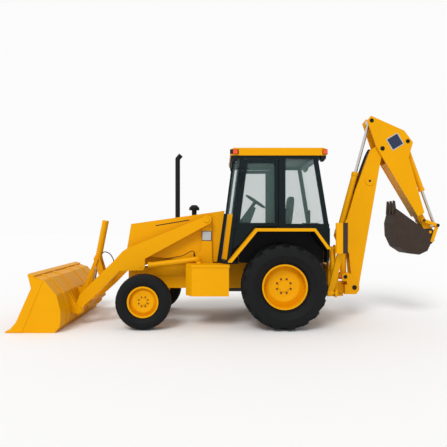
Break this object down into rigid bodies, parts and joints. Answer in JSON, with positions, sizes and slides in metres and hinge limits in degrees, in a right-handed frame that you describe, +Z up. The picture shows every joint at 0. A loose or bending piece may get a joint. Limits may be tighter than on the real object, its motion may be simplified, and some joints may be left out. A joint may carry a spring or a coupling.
{
  "type": "backhoe loader",
  "caption": "Wheeled tractor with a closed cab, a front loader bucket on lift arms and a folded rear digging arm between raised stabilizers.",
  "frame": {"origin": "on the ground below the middle of the machine's bounding box", "axes": "+X towards the rear digging arm, +Y towards the machine's right side, +Z up; it drives towards -X"},
  "size_m": [6.9439, 2.24, 3.4609],
  "materials": {
    "machine_yellow": "gloss paint",
    "dark_paint": "satin paint",
    "black_plastic": "matt",
    "cast_grey": "painted casting",
    "glazing": "clear",
    "seat_cover": "woven",
    "lamp_lens": "gloss",
    "tyre_rubber": "matt",
    "rod_steel": "ground",
    "worn_brown": "worn"
  },
  "bodies": {
    "chassis": {"frame": "machine_yellow", "loader_towers": "machine_yellow", "rear_frame": "machine_yellow", "engine": "cast_grey", "hood": "machine_yellow", "grille": "black_plastic", "exhaust_stack": "black_plastic", "air_cleaner": "black_plastic", "side_tanks": "machine_yellow", "cab_frame": "dark_paint", "cab_roof": "machine_yellow", "cab_glass": "glazing", "fenders": "machine_yellow", "driver_seat": "seat_cover", "controls": "black_plastic", "lamps": "lamp_lens", "front_axle": "cast_grey", "rear_axle": "cast_grey"},
    "left_door": {"door_left": "dark_paint", "door_glass_left": "glazing"},
    "right_door": {"door_right": "dark_paint", "door_glass_right": "glazing"},
    "left_knuckle": {"knuckle_left": "cast_grey"},
    "right_knuckle": {"knuckle_right": "cast_grey"},
    "front_wheel_left": {"front_rim_left": "machine_yellow", "front_tyre_left": "tyre_rubber"},
    "front_wheel_right": {"front_rim_right": "machine_yellow", "front_tyre_right": "tyre_rubber"},
    "rear_wheel_left": {"rear_rim_left": "machine_yellow", "rear_tyre_left": "tyre_rubber"},
    "rear_wheel_right": {"rear_rim_right": "machine_yellow", "rear_tyre_right": "tyre_rubber"},
    "arms": {"loader_arms": "machine_yellow"},
    "front_bucket": {"loader_bucket": "machine_yellow"},
    "lift_tubes": {"lift_barrels": "machine_yellow"},
    "lift_bars": {"lift_rods": "rod_steel"},
    "rocker": {"tilt_rocker": "machine_yellow"},
    "links": {"tilt_links": "machine_yellow"},
    "tilt_tube": {"tilt_barrel": "machine_yellow"},
    "tilt_bar": {"tilt_rod": "rod_steel"},
    "mast": {"swing_mast": "machine_yellow"},
    "rear_boom": {"boom": "machine_yellow"},
    "stick": {"dipper": "machine_yellow"},
    "rear_bucket": {"dig_bucket": "worn_brown"},
    "boom_tube": {"boom_barrel": "machine_yellow"},
    "boom_bar": {"boom_rod": "rod_steel"},
    "crowd_tube": {"crowd_barrel": "machine_yellow"},
    "crowd_bar": {"crowd_rod": "rod_steel"},
    "curl_tube": {"curl_barrel": "machine_yellow"},
    "curl_bar": {"curl_rod": "rod_steel"},
    "bucket_rocker": {"curl_rocker": "machine_yellow"},
    "bucket_link": {"curl_link": "machine_yellow"},
    "left_stabilizer": {"stabilizer_left": "machine_yellow"},
    "right_stabilizer": {"stabilizer_right": "machine_yellow"},
    "left_stab_tube": {"stab_barrel_left": "machine_yellow"},
    "right_stab_tube": {"stab_barrel_right": "machine_yellow"},
    "left_stab_bar": {"stab_rod_left": "rod_steel"},
    "right_stab_bar": {"stab_rod_right": "rod_steel"}
  },
  "joints": [
    {"name": "door_left_open", "type": "hinge", "parent": "chassis", "child": "left_door", "pos_m": [-0.1, -0.807, 1.04], "axis": [-0.1286, 0, -0.9917], "range_deg": [0, 75]},
    {"name": "door_right_open", "type": "hinge", "parent": "chassis", "child": "right_door", "pos_m": [-0.1, 0.807, 1.04], "axis": [-0.1286, 0, -0.9917], "range_deg": [-75, 0]},
    {"name": "steer_left", "type": "hinge", "parent": "chassis", "child": "left_knuckle", "pos_m": [-1.445, -0.69, 0.428], "axis": [0, 0, 1], "range_deg": [-36, 36]},
    {"name": "steer_right", "type": "hinge", "parent": "chassis", "child": "right_knuckle", "pos_m": [-1.445, 0.69, 0.428], "axis": [0, 0, 1], "range_deg": [-36, 36]},
    {"name": "front_spin_left", "type": "hinge", "parent": "left_knuckle", "child": "front_wheel_left", "pos_m": [-1.445, -0.86, 0.428], "axis": [0, 1, 0], "continuous": true},
    {"name": "front_spin_right", "type": "hinge", "parent": "right_knuckle", "child": "front_wheel_right", "pos_m": [-1.445, 0.86, 0.428], "axis": [0, 1, 0], "continuous": true},
    {"name": "rear_spin_left", "type": "hinge", "parent": "chassis", "child": "rear_wheel_left", "pos_m": [0.719, -0.845, 0.665], "axis": [0, 1, 0], "continuous": true},
    {"name": "rear_spin_right", "type": "hinge", "parent": "chassis", "child": "rear_wheel_right", "pos_m": [0.719, 0.845, 0.665], "axis": [0, 1, 0], "continuous": true},
    {"name": "loader_lift", "type": "hinge", "parent": "chassis", "child": "arms", "pos_m": [-0.481, 0, 1.686], "axis": [0, 1, 0], "range_deg": [-3, 58]},
    {"name": "lift_tube_turn", "type": "hinge", "parent": "chassis", "child": "lift_tubes", "pos_m": [-0.636, 0, 1.052], "axis": [0, 1, 0], "range_deg": [-3, 57]},
    {"name": "lift_rod_slide", "type": "slide", "parent": "lift_tubes", "child": "lift_bars", "axis": [-0.9922, 0, -0.1247], "range_m": [-0.034, 0.641]},
    {"name": "loader_tilt", "type": "hinge", "parent": "arms", "child": "front_bucket", "pos_m": [-2.542, 0, 0.25], "axis": [0, 1, 0], "range_deg": [-80, 35]},
    {"name": "rocker_turn", "type": "hinge", "parent": "arms", "child": "rocker", "pos_m": [-2.279, 0, 0.704], "axis": [0, 1, 0], "range_deg": [-62, 27.5]},
    {"name": "link_turn", "type": "hinge", "parent": "rocker", "child": "links", "pos_m": [-2.378, 0, 1.019], "axis": [0, 1, 0], "range_deg": [-28, 63]},
    {"name": "tilt_tube_turn", "type": "hinge", "parent": "rocker", "child": "tilt_tube", "pos_m": [-2.378, 0, 1.019], "axis": [0, 1, 0], "range_deg": [-15, 33]},
    {"name": "tilt_rod_slide", "type": "slide", "parent": "tilt_tube", "child": "tilt_bar", "axis": [-0.1917, 0, -0.9815], "range_m": [-0.213, 0.094]},
    {"name": "boom_swing", "type": "hinge", "parent": "chassis", "child": "mast", "pos_m": [1.798, 0, 0.51], "axis": [0, 0, -1], "range_deg": [-85, 85]},
    {"name": "boom_lower", "type": "hinge", "parent": "mast", "child": "rear_boom", "pos_m": [2.012, 0, 0.544], "axis": [0, 1, 0], "range_deg": [0, 110]},
    {"name": "boom_tube_turn", "type": "hinge", "parent": "mast", "child": "boom_tube", "pos_m": [1.858, 0, 0.725], "axis": [0, 1, 0], "range_deg": [-1, 113]},
    {"name": "boom_rod_slide", "type": "slide", "parent": "boom_tube", "child": "boom_bar", "axis": [-0.0131, 0, 0.9999], "range_m": [-0.002, 0.398]},
    {"name": "dipper_fold", "type": "hinge", "parent": "rear_boom", "child": "stick", "pos_m": [2.48796, 0, 2.90449], "axis": [0, 1, 0], "range_deg": [-105, 5]},
    {"name": "crowd_tube_turn", "type": "hinge", "parent": "rear_boom", "child": "crowd_tube", "pos_m": [1.78349, 0, 1.45008], "axis": [0, 1, 0], "range_deg": [-7, 0.5]},
    {"name": "crowd_rod_slide", "type": "slide", "parent": "crowd_tube", "child": "crowd_bar", "axis": [0.2609, 0, 0.9654], "range_m": [-0.801, 0.039]},
    {"name": "bucket_curl", "type": "hinge", "parent": "stick", "child": "rear_bucket", "pos_m": [3.32388, 0, 1.48539], "axis": [0, 1, 0], "range_deg": [-140, 0]},
    {"name": "curl_rocker_turn", "type": "hinge", "parent": "stick", "child": "bucket_rocker", "pos_m": [3.19492, 0, 1.68354], "axis": [0, 1, 0], "range_deg": [-69, 0.5]},
    {"name": "curl_link_turn", "type": "hinge", "parent": "bucket_rocker", "child": "bucket_link", "pos_m": [3.43388, 0, 1.59939], "axis": [0, 1, 0], "range_deg": [-0.5, 33.5]},
    {"name": "curl_tube_turn", "type": "hinge", "parent": "stick", "child": "curl_tube", "pos_m": [2.91687, 0, 3.02754], "axis": [0, 1, 0], "range_deg": [-3, 0.5]},
    {"name": "curl_rod_slide", "type": "slide", "parent": "curl_tube", "child": "curl_bar", "axis": [0.3404, 0, -0.9403], "range_m": [-0.283, 0.002]},
    {"name": "stabilizer_left_lower", "type": "hinge", "parent": "chassis", "child": "left_stabilizer", "pos_m": [1.47, -0.7, 0.532], "axis": [1, 0, 0], "range_deg": [0, 110]},
    {"name": "stab_tube_left_turn", "type": "hinge", "parent": "chassis", "child": "left_stab_tube", "pos_m": [1.52, -0.56, 1.23], "axis": [1, 0, 0], "range_deg": [-14.2, 0.4]},
    {"name": "stab_rod_left_slide", "type": "slide", "parent": "left_stab_tube", "child": "left_stab_bar", "axis": [0, -0.2689, -0.9632], "range_m": [-0.002, 0.317]},
    {"name": "stabilizer_right_lower", "type": "hinge", "parent": "chassis", "child": "right_stabilizer", "pos_m": [1.47, 0.7, 0.532], "axis": [1, 0, 0], "range_deg": [-110, 0]},
    {"name": "stab_tube_right_turn", "type": "hinge", "parent": "chassis", "child": "right_stab_tube", "pos_m": [1.52, 0.56, 1.23], "axis": [1, 0, 0], "range_deg": [-0.4, 14.2]},
    {"name": "stab_rod_right_slide", "type": "slide", "parent": "right_stab_tube", "child": "right_stab_bar", "axis": [0, 0.2689, -0.9632], "range_m": [-0.002, 0.317]}
  ],
  "couplings": [
    {"joint": "steer_right", "follows": "steer_left", "ratio": 1},
    {"joint": "lift_tube_turn", "follows": "loader_lift", "ratio": 0.9764},
    {"joint": "lift_rod_slide", "follows": "loader_lift", "m_per_rad": 0.6314},
    {"joint": "rocker_turn", "follows": "loader_tilt", "ratio": 0.77},
    {"joint": "link_turn", "follows": "loader_tilt", "ratio": -0.78},
    {"joint": "tilt_tube_turn", "follows": "loader_tilt", "ratio": -0.4065},
    {"joint": "tilt_rod_slide", "follows": "loader_tilt", "m_per_rad": 0.1515},
    {"joint": "boom_tube_turn", "follows": "boom_lower", "ratio": 1.0206},
    {"joint": "boom_rod_slide", "follows": "boom_lower", "m_per_rad": 0.2065},
    {"joint": "crowd_tube_turn", "follows": "dipper_fold", "ratio": 0.0633},
    {"joint": "crowd_rod_slide", "follows": "dipper_fold", "m_per_rad": 0.4359},
    {"joint": "curl_rocker_turn", "follows": "bucket_curl", "ratio": 0.49},
    {"joint": "curl_link_turn", "follows": "bucket_curl", "ratio": -0.235},
    {"joint": "curl_tube_turn", "follows": "bucket_curl", "ratio": 0.0175},
    {"joint": "curl_rod_slide", "follows": "bucket_curl", "m_per_rad": 0.1151},
    {"joint": "stab_tube_left_turn", "follows": "stabilizer_left_lower", "ratio": -0.1245},
    {"joint": "stab_rod_left_slide", "follows": "stabilizer_left_lower", "m_per_rad": 0.1641},
    {"joint": "stab_tube_right_turn", "follows": "stabilizer_right_lower", "ratio": -0.1245},
    {"joint": "stab_rod_right_slide", "follows": "stabilizer_right_lower", "m_per_rad": -0.1641}
  ]
}
